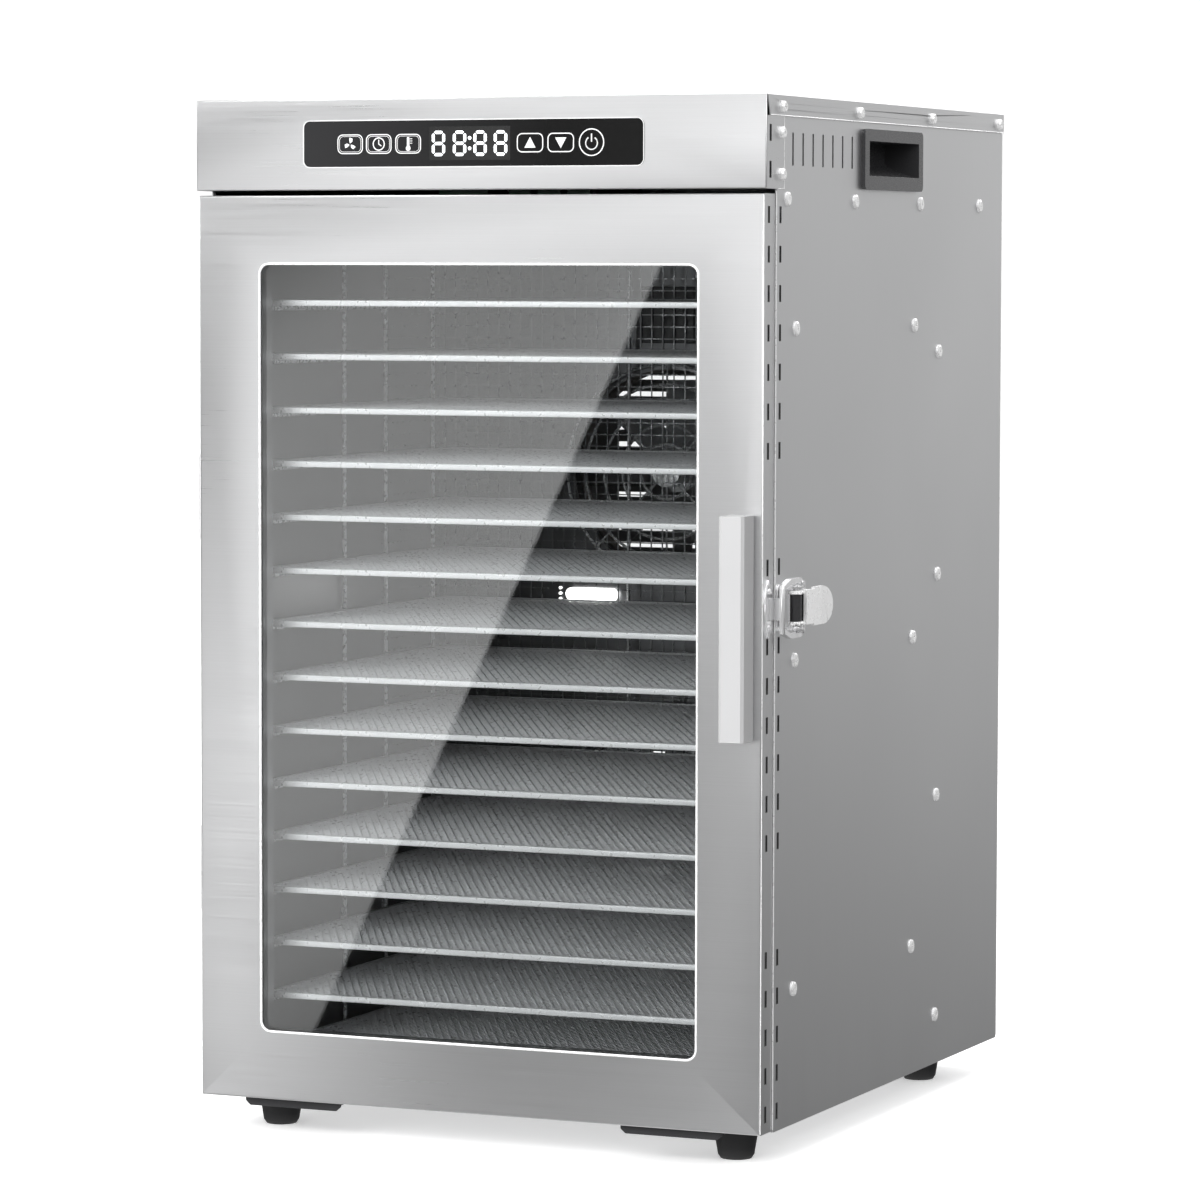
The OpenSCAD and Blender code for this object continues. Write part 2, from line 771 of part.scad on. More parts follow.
// Lever: two cheeks and a tab that ends in a disc bent outward for the finger
module latch_lever() {
    color([0.88, 0.89, 0.9]) place() latch_frame() difference() {
        union() {
            for (z = [-12.5, 10]) translate([0, 0, z]) linear_extrude(2.5) lever_cheek();
            box([tab_u, pivot_y + 8, -12.5], [tab_u + tab_t, 62, 12.5]);
            box([tab_u, 62, -tab_half], [tab_u + tab_t, tab_bend_y, tab_half]);
            translate([tab_u, tab_bend_y, 0]) rotate([0, 0, -12]) intersection() {
                union() {
                    box([0, -0.5, -tab_half], [tab_t, 1.5, tab_half]);
                    rod_x(0, tab_t, 1.5, 0, tab_half);
                }
                box([-1, -0.5, -20], [4, 20, 20]);
            }
        }
        rod_z(pivot_u, pivot_y, -20, 20, latch_hole_r);
        rod_z(link_u, link_y, -20, 20, link_hole_r);
    }
}

// Draw loop: a flat loop that widens behind the bar, and the two link pins
module latch_bail() {
    color([0.9, 0.91, 0.92]) place() latch_frame() {
        translate([link_u - bar_r, 0, 0]) rotate([90, 0, 90]) linear_extrude(2 * bar_r) difference() {
            polygon([
                [bar_y, -17.5], [26, -21.5], [46, -21.5], [49.5, -19], [49.5, 19],
                [46, 21.5], [26, 21.5], [bar_y, 17.5]
            ]);
            polygon([
                [0, -14], [bar_y, -14], [27, -18], [60, -18],
                [60, 18], [27, 18], [bar_y, 14], [0, 14]
            ]);
        }
        rod_z(link_u, bar_y, -17.5, 17.5, bar_r);
        for (m = [0, 1]) mirror([0, 0, m]) {
            rod_z(link_u, link_y, 13.1, 19, 3.4);
            rod_z(link_u, link_y, 10.3, 18, link_pin_r);
        }
    }
}

// Keeper on the door's edge: pointed oval plate with an upstanding lip
module latch_keeper() {
    keeper_r = 34.6;
    keeper_half = 7.5;
    keeper_y = 10;
    color([0.85, 0.86, 0.87]) place() latch_frame() {
        intersection() {
            rod_x(-1, 0.5, keeper_y + keeper_r - keeper_half, 0, keeper_r);
            rod_x(-1, 0.5, keeper_y - keeper_r + keeper_half, 0, keeper_r);
        }
        for (z = [-13, 13]) rod_x(0.4, 1.3, keeper_y, z, 2);
        box([0.5, 17.6, -8], [link_u - bar_r - 0.4, 19.6, 8]);
        box([0.4, 9, -8], [1.2, 19.6, 8]);
    }
}

// ---- Carry handles, feet, brackets and screws ----------------------------

// Moulded recess: rim on the side panel, pocket with a sloping floor
module carry_handle() {
    pocket_y0 = grip_y0 + grip_rim;
    pocket_y1 = grip_y1 - grip_rim;
    difference() {
        union() {
            side_plate(side_out - 3.2, grip_y0, grip_z0, grip_y1 - grip_y0, grip_z1 - grip_z0, 4, 3.2);
            box([side_out, grip_y0 + 5.3, grip_z0 + 5.3], [29, grip_y1 - 5.3, grip_z1 - 5.3]);
        }
        translate([0, pocket_y1, 0]) rotate([90, 0, 0]) linear_extrude(pocket_y1 - pocket_y0)
            polygon([[-5, 695], [side_out, 695], [24, 704], [26, 708], [26, 721], [-5, 721]]);
    }
}

module carry_handle_left() {
    color([0.13, 0.13, 0.14]) place() carry_handle();
}

module carry_handle_right() {
    color([0.13, 0.13, 0.14]) place() right_side() carry_handle();
}

module foot_places() {
    for (x = [42, body_w - 42], y = [54, body_d - 72]) translate([x, y, 0]) children();
}

module feet() {
    color([0.09, 0.09, 0.09]) place() foot_places() {
        translate([0, 0, -foot_h]) cylinder(h = 3, r1 = 11.5, r2 = 13.5);
        translate([0, 0, 3 - foot_h]) cylinder(h = foot_h - 3, r1 = 13.5, r2 = 17.5);
        cylinder(h = 6, r = screw_r);
    }
}

// Bent plate under the front edge, welded to the base beside the foot
module base_bracket() {
    box([35, 8, -1.5], [115, 34, 0]);
    box([62, 34, -1.5], [110, 54, 0]);
    translate([35, 9.5, 0]) rotate([90, 0, 0]) linear_extrude(1.5)
        polygon([[0, 0], [80, 0], [80, -2.5], [76, -6], [4, -6], [0, -2.5]]);
}

module base_brackets() {
    color([0.18, 0.18, 0.19]) place() {
        base_bracket();
        right_side() base_bracket();
    }
}

module cabinet_screws() {
    color([0.88, 0.89, 0.9]) place() {
        for (s = [0, 1]) translate([s * body_w, 0, 0]) mirror([s, 0, 0]) {
            for (y = lid_screw_y) high_screw(y, lid_screw_z);
            for (z = fascia_screw_z) high_screw(fascia_screw_y, z);
            for (y = bay_screw_y) flat_screw(y, bay_screw_z);
            for (y = rack_screw_y, z = rack_screw_z) flat_screw(y, z);
            for (z = partition_screw_z) flat_screw(partition_y, z);
        }
        for (x = [rear_screw_x, body_w - rear_screw_x], z = rear_screw_z) rear_screw(x, body_d, z);
        for (x = base_screw_x) rear_screw(x, body_d, base_screw_z);
        for (z = hinge_screw_z) side_screw(-1, hinge_screw_y, z);
    }
}

module door_screws() {
    color([0.88, 0.89, 0.9]) place() {
        for (z = pull_screw_z) rear_screw(pull_screw_x, sheet, z, 3.8);
        for (z = hinge_screw_z) side_screw(-0.6, hinge_door_screw_y, z, 6);
    }
}

// ---- Trays ---------------------------------------------------------------

// Tray number n: square rim and a floor of wires from front to back
module tray(n) {
    x0 = (body_w - tray_w) / 2;
    y0 = 34;
    z = first_tray_z + tray_pitch * (n - 1);
    half = tray_rim / 2;
    inner_y0 = tray_rim - eps;
    inner_y1 = tray_d - tray_rim + eps;
    color([0.85, 0.86, 0.87]) place() translate([x0, y0, z]) {
        for (y = [0, tray_d - tray_rim]) box([0, y, -half], [tray_w, y + tray_rim, half]);
        for (x = [0, tray_w - tray_rim]) box([x, inner_y0, -half], [x + tray_rim, inner_y1, half]);
        for (x = [tray_wire_pitch : tray_wire_pitch : tray_w - tray_wire_pitch])
            box([x - 0.8, inner_y0, 0.4], [x + 0.8, inner_y1, 2]);
    }
}

left_side_panel();
right_side_panel();
top_cover();
back_panel();
bottom_panel();
front_frame();
chamber_wall_left();
chamber_wall_right();
chamber_ceiling();
chamber_floor();
rear_partition();
fan_guards();
rack_left();
rack_right();
heater_rings();
fan_upper();
fan_lower();
fan_motors();
wiring_harness();
interior_lamp();
sensor_box();
control_fascia();
control_overlay();
display_module();
control_board();
power_inlet();
door_skin();
door_inner_frame();
door_glass();
door_gasket();
door_handle();
hinge_leaves_cabinet();
hinge_leaves_door();
hinge_pins();
latch_base();
latch_lever();
latch_bail();
latch_keeper();
carry_handle_left();
carry_handle_right();
feet();
base_brackets();
cabinet_screws();
door_screws();
tray(1);  // tray_01
tray(2);  // tray_02
tray(3);  // tray_03
tray(4);  // tray_04
tray(5);  // tray_05
tray(6);  // tray_06
tray(7);  // tray_07
tray(8);  // tray_08
tray(9);  // tray_09
tray(10);  // tray_10
tray(11);  // tray_11
tray(12);  // tray_12
tray(13);  // tray_13
tray(14);  // tray_14
tray(15);  // tray_15
tray(16);  // tray_16
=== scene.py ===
import json
import math

import bmesh
import bpy
from mathutils import Matrix, Vector


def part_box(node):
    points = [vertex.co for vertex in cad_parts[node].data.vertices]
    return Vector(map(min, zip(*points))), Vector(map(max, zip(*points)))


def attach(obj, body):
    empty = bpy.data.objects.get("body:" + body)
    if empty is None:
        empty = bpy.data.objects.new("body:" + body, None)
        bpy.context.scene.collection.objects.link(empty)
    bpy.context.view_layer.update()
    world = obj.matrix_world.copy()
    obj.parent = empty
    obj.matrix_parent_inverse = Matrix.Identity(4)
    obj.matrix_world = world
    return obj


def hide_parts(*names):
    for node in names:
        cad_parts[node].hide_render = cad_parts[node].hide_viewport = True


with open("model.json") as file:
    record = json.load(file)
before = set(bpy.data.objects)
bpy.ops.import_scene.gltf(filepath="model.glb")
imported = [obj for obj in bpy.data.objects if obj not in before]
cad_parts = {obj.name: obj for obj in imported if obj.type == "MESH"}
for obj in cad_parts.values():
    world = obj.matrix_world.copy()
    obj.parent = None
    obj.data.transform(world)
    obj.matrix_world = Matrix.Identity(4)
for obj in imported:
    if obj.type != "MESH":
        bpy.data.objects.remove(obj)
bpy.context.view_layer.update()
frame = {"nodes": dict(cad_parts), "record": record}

# ---- Places ---------------------------------------------------------------
# Cabinet coordinates are in millimetres: x from the left side, y from the
# door's front face, z from the underside of the body.

MM = 0.001
CORNER = Vector((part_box("top_cover")[0].x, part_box("door_skin")[0].y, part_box("bottom_panel")[0].z))
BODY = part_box("top_cover")[1] - CORNER


def at(x, y, z):
    """A point in the row frame from cabinet coordinates."""
    return CORNER + Vector((x, y, z)) * MM


def local(point):
    """Cabinet coordinates of a point in the row frame."""
    return (point - CORNER) / MM


def node_box(name):
    lo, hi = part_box(name)
    return local(lo), local(hi)


# ---- Camera ---------------------------------------------------------------

CAMERA_PLACE = (1770.8, -3334.3, 625.5)
CAMERA_YAW = math.radians(23.378)
CAMERA_PITCH = math.radians(3.787)
CAMERA_ROLL = math.radians(0.12)

camera_data = bpy.data.cameras.new("camera")
camera_data.sensor_width = 36
camera_data.lens = 150.4
camera_data.clip_end = 100
camera = bpy.data.objects.new("camera", camera_data)
bpy.context.scene.collection.objects.link(camera)
camera.matrix_world = (
    Matrix.Translation(at(*CAMERA_PLACE))
    @ Matrix.Rotation(CAMERA_YAW, 4, "Z")
    @ Matrix.Rotation(math.pi / 2 - CAMERA_PITCH, 4, "X")
    @ Matrix.Rotation(CAMERA_ROLL, 4, "Z")
)
bpy.context.scene.camera = camera
bpy.context.scene.view_settings.view_transform = "Standard"


# ---- Material helpers -----------------------------------------------------

class Shader:
    """A node material built step by step around one Principled shader."""

    def __init__(self, name, **sockets):
        self.material = bpy.data.materials.new(name)
        self.material.use_nodes = True
        self.tree = self.material.node_tree
        self.main = self.tree.nodes["Principled BSDF"]
        for socket, value in sockets.items():
            self.main.inputs[socket.replace("_", " ")].default_value = value

    def node(self, kind, inputs=(), **settings):
        made = self.tree.nodes.new(kind)
        for key, value in settings.items():
            setattr(made, key, value)
        for socket, value in dict(inputs).items():
            if isinstance(value, bpy.types.NodeSocket):
                self.tree.links.new(value, made.inputs[socket])
            else:
                made.inputs[socket].default_value = value
        return made

    def place(self, scale):
        """Object coordinates, stretched by scale (repeats per metre)."""
        coordinates = self.node("ShaderNodeTexCoord")
        inputs = {"Vector": coordinates.outputs["Object"], "Scale": scale}
        mapping = self.node("ShaderNodeMapping", inputs)
        return mapping.outputs["Vector"]

    def noise(self, scale, detail=3.0, rough=0.5):
        inputs = {"Vector": self.place(scale), "Scale": 1.0, "Detail": detail, "Roughness": rough}
        made = self.node("ShaderNodeTexNoise", inputs)
        return made.outputs["Fac"]

    def spread(self, fac, low, high, start=0.3, end=0.7):
        inputs = {"Value": fac, "From Min": start, "From Max": end, "To Min": low, "To Max": high}
        made = self.node("ShaderNodeMapRange", inputs)
        return made.outputs["Result"]

    def blend(self, fac, first, second):
        made = self.node("ShaderNodeMix", data_type="RGBA")
        self.tree.links.new(fac, made.inputs[0])
        made.inputs[6].default_value = (*first, 1)
        made.inputs[7].default_value = (*second, 1)
        return made.outputs[2]

    def link(self, output, socket):
        self.tree.links.new(output, self.main.inputs[socket])

    def bump(self, height, strength, distance):
        made = self.node("ShaderNodeBump", {"Height": height, "Strength": strength, "Distance": distance})
        self.link(made.outputs["Normal"], "Normal")


def shade(colour, factor):
    return tuple(min(1.0, c * factor) for c in colour)


def brushed(name, colour, roughness, grain, contrast=0.05):
    """Brushed metal: fine grain stretched along one axis, with soft, wide clouds of handling."""
    s = Shader(name, Metallic=1.0)
    line = s.noise(grain, 4.0, 0.6)
    cloud = s.noise((5, 5, 4), 3.0)
    s.link(s.blend(line, shade(colour, 1 - contrast), shade(colour, 1 + contrast)), "Base Color")
    rough = s.spread(line, roughness * 0.86, roughness * 1.1)
    wide = s.spread(cloud, -0.025, 0.025)
    total = s.node("ShaderNodeMath", {0: rough, 1: wide}, operation="ADD")
    s.link(total.outputs[0], "Roughness")
    s.bump(line, 0.12, 0.00004)
    return s.material


def polished(name, colour, roughness, metallic=1.0):
    """Plated or electropolished metal with faint wear."""
    s = Shader(name, Metallic=metallic)
    wear = s.noise((240, 240, 240), 4.0)
    cloud = s.noise((35, 35, 35), 2.0)
    s.link(s.blend(cloud, shade(colour, 1 - 0.04), shade(colour, 1 + 0.04)), "Base Color")
    s.link(s.spread(wear, roughness * 0.7, roughness * 1.5), "Roughness")
    s.bump(wear, 0.08, 0.00008)
    return s.material


def moulded(name, colour, roughness, grain=1600, contrast=0.12, bump=0.35, depth=0.00006):
    """Moulded plastic or rubber with a fine spark-eroded grain."""
    s = Shader(name, Metallic=0.0)
    fine = s.noise((grain,) * 3, 2.0)
    cloud = s.noise((18, 18, 18), 3.0)
    s.link(s.blend(cloud, shade(colour, 1 - contrast), shade(colour, 1 + contrast)), "Base Color")
    s.link(s.spread(fine, roughness * 0.85, roughness * 1.15), "Roughness")
    s.bump(fine, bump, depth)
    return s.material


def glowing(name, colour, strength):
    """A lit surface: opal lens or display segment, a little uneven."""
    s = Shader(name, Roughness=0.35)
    cloud = s.noise((120, 120, 120), 2.0)
    tone = s.blend(cloud, shade(colour, 0.9), colour)
    s.link(tone, "Base Color")
    s.link(tone, "Emission Color")
    s.main.inputs["Emission Strength"].default_value = strength
    return s.material


def grey_to_black_fade(name):
    """Glossy sheet that is dark grey at the left and fades to black at the right."""
    s = Shader(name, Metallic=0.0, Specular_IOR_Level=0.12)
    coordinates = s.node("ShaderNodeTexCoord")
    split = s.node("ShaderNodeSeparateXYZ", {"Vector": coordinates.outputs["Object"]})
    fade = s.spread(split.outputs["X"], 0.0, 1.0, at(89.5, 0, 0).x, at(290, 0, 0).x)
    s.link(s.blend(fade, (0.024, 0.024, 0.025), (0.003, 0.003, 0.003)), "Base Color")
    s.link(s.spread(s.noise((300, 300, 300)), 0.14, 0.2), "Roughness")
    return s.material


def pane(name, tint):
    """Clear sheet glass: light passes straight through, and Fresnel gives the reflection."""
    material = bpy.data.materials.new(name)
    material.use_nodes = True
    tree = material.node_tree
    tree.nodes.clear()
    out = tree.nodes.new("ShaderNodeOutputMaterial")
    mix = tree.nodes.new("ShaderNodeMixShader")
    clear = tree.nodes.new("ShaderNodeBsdfTransparent")
    clear.inputs["Color"].default_value = (*tint, 1)
    gloss = tree.nodes.new("ShaderNodeBsdfGlossy")
    gloss.inputs["Color"].default_value = (1, 1, 1, 1)
    gloss.inputs["Roughness"].default_value = 0.01
    fresnel = tree.nodes.new("ShaderNodeFresnel")
    fresnel.inputs["IOR"].default_value = 1.5
    tree.links.new(fresnel.outputs[0], mix.inputs[0])
    tree.links.new(clear.outputs[0], mix.inputs[1])
    tree.links.new(gloss.outputs[0], mix.inputs[2])
    tree.links.new(mix.outputs[0], out.inputs["Surface"])
    return material


# ---- Materials ------------------------------------------------------------

STEEL = (0.74, 0.743, 0.75)
UPRIGHT_GRAIN = (1500, 1500, 9)
LEVEL_GRAIN = (9, 1500, 1500)
DEPTH_GRAIN = (1500, 9, 1500)

MATERIALS = {
    "front_steel": brushed("front_steel", STEEL, 0.33, LEVEL_GRAIN),
    "side_steel": brushed("side_steel", STEEL, 0.36, UPRIGHT_GRAIN),
    "top_steel": brushed("top_steel", STEEL, 0.34, DEPTH_GRAIN),
    # The chamber's steel is a darker copy of the shell's steel: painted shade for the inside of the closed
    # chamber
    "chamber_steel": brushed("chamber_steel", (0.30, 0.30, 0.31), 0.34, UPRIGHT_GRAIN, 0.08),
    "wire_steel": polished("wire_steel", (0.92, 0.92, 0.93), 0.26, metallic=0.55),
    "tray_mesh": polished("tray_mesh", (0.90, 0.90, 0.91), 0.32, metallic=0.4),
    # Darker copy of steel for the rear screen: painted shade deep in the chamber
    "grid_steel": polished("grid_steel", (0.34, 0.34, 0.35), 0.28),
    "heater_sheath": brushed("heater_sheath", (0.30, 0.27, 0.25), 0.5, (300, 300, 300), 0.15),
    "fan_aluminium": brushed("fan_aluminium", (0.72, 0.73, 0.74), 0.4, (400, 20, 400)),
    # Near-black for the sheets behind the slots and the bands round them: painted shade of the openings
    "slot_black": moulded("slot_black", (0.0025, 0.0025, 0.0025), 0.9, 700, 0.2, 0.1),
    "black_metal": moulded("black_metal", (0.03, 0.03, 0.032), 0.45, 700, 0.2, 0.2),
    "wire_insulation": moulded("wire_insulation", (0.03, 0.03, 0.03), 0.55),
    "lamp_lens": glowing("lamp_lens", (1.0, 0.99, 0.97), 3.5),
    "digit_light": glowing("digit_light", (0.95, 0.98, 1.0), 1.4),
    "print_white": moulded("print_white", (0.80, 0.80, 0.80), 0.4, 1200, 0.04),
    "black_plastic": moulded("black_plastic", (0.036, 0.036, 0.038), 0.3, bump=0.2),
    "overlay_gloss": grey_to_black_fade("overlay_gloss"),
    "display_black": moulded("display_black", (0.002, 0.002, 0.002), 0.2, 300, 0.2, 0.02, 0.00002),
    "board_laminate": moulded("board_laminate", (0.02, 0.12, 0.05), 0.35, 500, 0.2, 0.3),
    "door_glass": pane("door_glass", (0.95, 0.96, 0.96)),
    "gasket_rubber": moulded("gasket_rubber", (0.018, 0.018, 0.018), 0.6),
    "handle_plastic": moulded("handle_plastic", (0.46, 0.46, 0.465), 0.38, 900, 0.03, 0.12),
    "hinge_steel": brushed("hinge_steel", (0.7, 0.7, 0.71), 0.3, UPRIGHT_GRAIN),
    "latch_chrome": polished("latch_chrome", (0.93, 0.93, 0.94), 0.16, metallic=0.7),
    "grip_plastic": moulded("grip_plastic", (0.050, 0.050, 0.053), 0.26),
    "foot_rubber": moulded("foot_rubber", (0.014, 0.014, 0.015), 0.5),
    # Screws and latch lever: near-white and mostly diffuse, painted highlights in place of their metal glints
    "screw_steel": polished("screw_steel", (0.97, 0.97, 0.97), 0.3, metallic=0.3),
    "lever_painted_highlight": polished("lever_painted_highlight", (0.97, 0.97, 0.97), 0.3, metallic=0.15),
    # Near-white and mostly diffuse: painted highlights along the sheet edges and round the window
    "painted_highlight_steel": polished("painted_highlight_steel", (0.97, 0.97, 0.97), 0.3, metallic=0.2),
}

# Radius in millimetres that a node's sharp edges get
ROUNDED_EDGES = {
    "door_handle": 0.8,
    "carry_handle_left": 1.0,
    "carry_handle_right": 1.0,
    "latch_bail": 1.3,
    "latch_lever": 0.6,
    "latch_base": 0.4,
    "latch_keeper": 0.35,
    "hinge_leaves_cabinet": 0.3,
    "hinge_leaves_door": 0.3,
    "base_brackets": 0.4,
    "feet": 0.8,
    "power_inlet": 0.6,
    "control_overlay": 0.2,
    "sensor_box": 1.0,
    "interior_lamp": 0.8,
    "top_cover": 0.45,
}

SLOT_OF = {row["node"]: row["material_slot"] for row in frame["record"]["subparts"]}
FRONT_NODES = ("control_fascia", "door_skin")
TOP_NODES = ("top_cover", "bottom_panel")

for name, part in frame["nodes"].items():
    look = SLOT_OF[name]
    if look == "shell_steel":
        look = "front_steel" if name in FRONT_NODES else "top_steel" if name in TOP_NODES else "side_steel"
    if name == "latch_lever":
        look = "lever_painted_highlight"
    part.data.materials.clear()
    part.data.materials.append(MATERIALS[look])
    if name in ROUNDED_EDGES:
        weld = part.modifiers.new("weld", "WELD")
        weld.merge_threshold = 0.00001
        bevel = part.modifiers.new("round_edges", "BEVEL")
        bevel.width = ROUNDED_EDGES[name] * MM
        bevel.segments = 3
        bevel.limit_method = "ANGLE"
        bevel.angle_limit = math.radians(40)
        bevel.harden_normals = True


# ---- Mesh helpers ---------------------------------------------------------

class Build:
    """Collects shapes in one mesh, in cabinet millimetres, and makes a piece of them."""

    def __init__(self):
        self.bm = bmesh.new()

    def quad_ring(self, rings, closed=False, caps=True):
        """Skins a list of rings of points."""
        rows = [[self.bm.verts.new(at(*p)) for p in ring] for ring in rings]
        count = len(rows[0])
        pairs = list(zip(rows, rows[1:])) + ([(rows[-1], rows[0])] if closed else [])
        for a, b in pairs:
            for i in range(count):
                j = (i + 1) % count
                self.bm.faces.new((a[i], a[j], b[j], b[i]))
        if caps and not closed:
            self.bm.faces.new(list(reversed(rows[0])))
            self.bm.faces.new(rows[-1])

    def tube(self, points, radius, sides=8, closed=False):
        """Round tube along points, with mitred rings."""
        line = [Vector(p) for p in points]
        count = len(line)
        rings = []
        last = None
        for i, p in enumerate(line):
            before = line[i - 1] if i or closed else p
            after = line[(i + 1) % count] if i < count - 1 or closed else p
            way = (after - before).normalized()
            if last is None:
                last = way.orthogonal().normalized()
            last = (last - way * last.dot(way)).normalized()
            side = way.cross(last)
            turns = [2 * math.pi * k / sides for k in range(sides)]
            ring = [p + last * radius * math.cos(t) + side * radius * math.sin(t) for t in turns]
            rings.append(ring)
        self.quad_ring(rings, closed)

    def strip(self, a, b, width, height):
        """Flat bar from a to b, its height along z."""
        a, b = Vector(a), Vector(b)
        side = (b - a).cross(Vector((0, 0, 1))).normalized() * width / 2
        up = Vector((0, 0, height / 2))
        rings = [[p - side - up, p + side - up, p + side + up, p - side + up] for p in (a, b)]
        self.quad_ring(rings, caps=False)

    def block(self, lo, hi):
        x0, y0, z0 = lo
        x1, y1, z1 = hi
        self.quad_ring([[(x0, y0, z), (x1, y0, z), (x1, y1, z), (x0, y1, z)] for z in (z0, z1)])

    def plate(self, outline, y0, y1):
        """Flat plate facing the front, from its outline of (x, z) points."""
        self.quad_ring([[(x, y, z) for x, z in outline] for y in (y1, y0)])

    def band(self, outer, inner, y0, y1):
        """Flat ring facing the front, between two outlines of as many points."""
        rings = [(outer, y1), (outer, y0), (inner, y0), (inner, y1)]
        self.quad_ring([[(x, y, z) for x, z in loop] for loop, y in rings], closed=True)

    def finish(self, name, body, material, smooth=True, bevel=0.0):
        bmesh.ops.recalc_face_normals(self.bm, faces=self.bm.faces)
        mesh = bpy.data.meshes.new(name)
        self.bm.to_mesh(mesh)
        self.bm.free()
        mesh.materials.append(MATERIALS[material])
        piece = bpy.data.objects.new(name, mesh)
        bpy.context.scene.collection.objects.link(piece)
        if smooth:
            mesh.shade_smooth()
            mesh.set_sharp_from_angle(angle=math.radians(40))
        if bevel:
            modifier = piece.modifiers.new("round_edges", "BEVEL")
            modifier.width = bevel * MM
            modifier.segments = 2
        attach(piece, body)
        return piece


def rounded(x0, z0, x1, z1, radius, steps=6):
    """Outline of a rectangle with round corners."""
    corners = [(x1 - radius, z1 - radius, 0), (x0 + radius, z1 - radius, 90),
               (x0 + radius, z0 + radius, 180), (x1 - radius, z0 + radius, 270)]
    points = []
    for cx, cz, start in corners:
        for k in range(steps + 1):
            turn = math.radians(start + 90 * k / steps)
            points.append((cx + radius * math.cos(turn), cz + radius * math.sin(turn)))
    return points


def circle(cx, cz, radius, steps=32):
    turns = [2 * math.pi * k / steps for k in range(steps)]
    return [(cx + radius * math.cos(t), cz + radius * math.sin(t)) for t in turns]


def sweep_section(build, lo, hi, radius, section, axis="z"):
    """Sweeps a section, given as (outward, along) points, round a rounded rectangle."""
    rings = []
    for out, along in section:
        loop = rounded(lo[0] - out, lo[1] - out, hi[0] + out, hi[1] + out, radius + out)
        rings.append([(p, q, along) if axis == "z" else (p, along, q) for p, q in loop])
    build.quad_ring(rings, closed=True)


# ---- Sheet metal with folded edges ----------------------------------------

def folded(name, folds, look):
    """Copies a sheet part and gives its folds their bend radius.

    folds lists (radius, test), where test says whether a point in cabinet millimetres is on the fold.
    """
    bm = bmesh.new()
    bm.from_mesh(frame["nodes"][name].data)
    bmesh.ops.remove_doubles(bm, verts=bm.verts, dist=0.000005)
    bmesh.ops.dissolve_limit(bm, angle_limit=math.radians(0.3), verts=bm.verts, edges=bm.edges)
    for radius, test in folds:
        edges = [e for e in bm.edges if all(test(*local(v.co)) for v in e.verts)]
        bmesh.ops.bevel(
            bm, geom=edges, offset=radius * MM, offset_type="OFFSET", segments=5, profile=0.5, affect="EDGES",
            clamp_overlap=True,
        )
    mesh = bpy.data.meshes.new(name + "_folded")
    bm.to_mesh(mesh)
    bm.free()
    mesh.materials.clear()
    mesh.materials.append(MATERIALS[look])
    mesh.shade_smooth()
    mesh.set_sharp_from_angle(angle=math.radians(25))
    piece = bpy.data.objects.new(name + "_folded", mesh)
    bpy.context.scene.collection.objects.link(piece)
    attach(piece, "door" if name == "door_skin" else "cabinet")
    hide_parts(name)


def near(value, *places):
    return any(abs(value - p) < 0.02 for p in places)


door_lo, door_hi = node_box("door_skin")
folded("door_skin", [
    (1.4, lambda x, y, z: near(y, 0) and near(x, door_lo.x, door_hi.x)),
    (1.0, lambda x, y, z: near(y, 0) and near(z, door_lo.z, door_hi.z)),
], "front_steel")
fascia_lo, fascia_hi = node_box("control_fascia")
folded("control_fascia", [
    (1.4, lambda x, y, z: near(y, 0) and near(x, fascia_lo.x, fascia_hi.x)),
    (0.9, lambda x, y, z: near(y, 0) and near(z, fascia_lo.z)),
], "front_steel")
for side in ("left_side_panel", "right_side_panel"):
    side_lo, side_hi = node_box(side)
    outer = side_lo.x if side == "left_side_panel" else side_hi.x
    folded(side, [
        (1.2, lambda x, y, z, o=outer, e=side_lo.y: near(x, o) and near(y, e)),
        (1.2, lambda x, y, z, o=outer, e=side_hi.y: near(x, o) and near(y, e)),
    ], "side_steel")


# ---- Painted shade in the slots and vents: dark sheets behind them, dark bands round them ---

SHADE_SHEET_T = 0.4
LID_FACE = 458
SIDE_FACE = 457
DOOR_FACE = 456
SLOT_Y = 30
DOOR_SLOT_Y = 10
FASCIA_SLOT_Y = 7.5
FASCIA_SLOT_HEIGHTS = (696.2, 722.4)
SLOT_HALF_LENGTH = 6
# The middle of each slot, in three rows; the second row has a gap behind the latch
SLOT_HEIGHTS = [664 - 28.2 * i for i in range(7)]
SLOT_HEIGHTS += [411 - 28.4 * i for i in range(8) if i != 1]
SLOT_HEIGHTS += [127.3 - 28.1 * i for i in range(5)]


def side_x(x, mirror):
    """x in cabinet millimetres, or its mirror image on the other side."""
    return BODY.x / MM - x if mirror else x


def side_block(build, mirror, x0, x1, y0, y1, z0, z1):
    a, b = sorted((side_x(x0, mirror), side_x(x1, mirror)))
    build.block((a, y0, z0), (b, y1, z1))


# Near-black sheets just behind the slots and vents: painted shade where the openings look into the cabinet
for side, mirror in (("left", False), ("right", True)):
    build = Build()
    for x, y0, y1, z0, z1 in ((2.2, 27.8, 32.2, 8, 672), (2.2, 51, 179, 697, 727), (1.2, 5.5, 9.5, 687, 731)):
        side_block(build, mirror, x, x + SHADE_SHEET_T, y0, y1, z0, z1)
    build.finish("slot_shade_sheet_" + side, "cabinet", "slot_black", smooth=False)
    build = Build()
    side_block(build, mirror, 3.2, 3.6, 7.7, 12.3, 8, 672)
    build.finish("door_slot_lining_" + side, "door", "slot_black", smooth=False)


def paint_slot_shade(build, mirror, face, y, heights):
    """Painted shade round slots: dark bands that make the 2 mm openings look about 3.8 mm wide."""
    for z in heights:
        z0, z1 = z - SLOT_HALF_LENGTH, z + SLOT_HALF_LENGTH
        for y0, y1 in ((y - 1.9, y - 0.95), (y + 0.95, y + 1.9)):
            side_block(build, mirror, face - 0.3, face + 0.05, y0, y1, z0, z1)
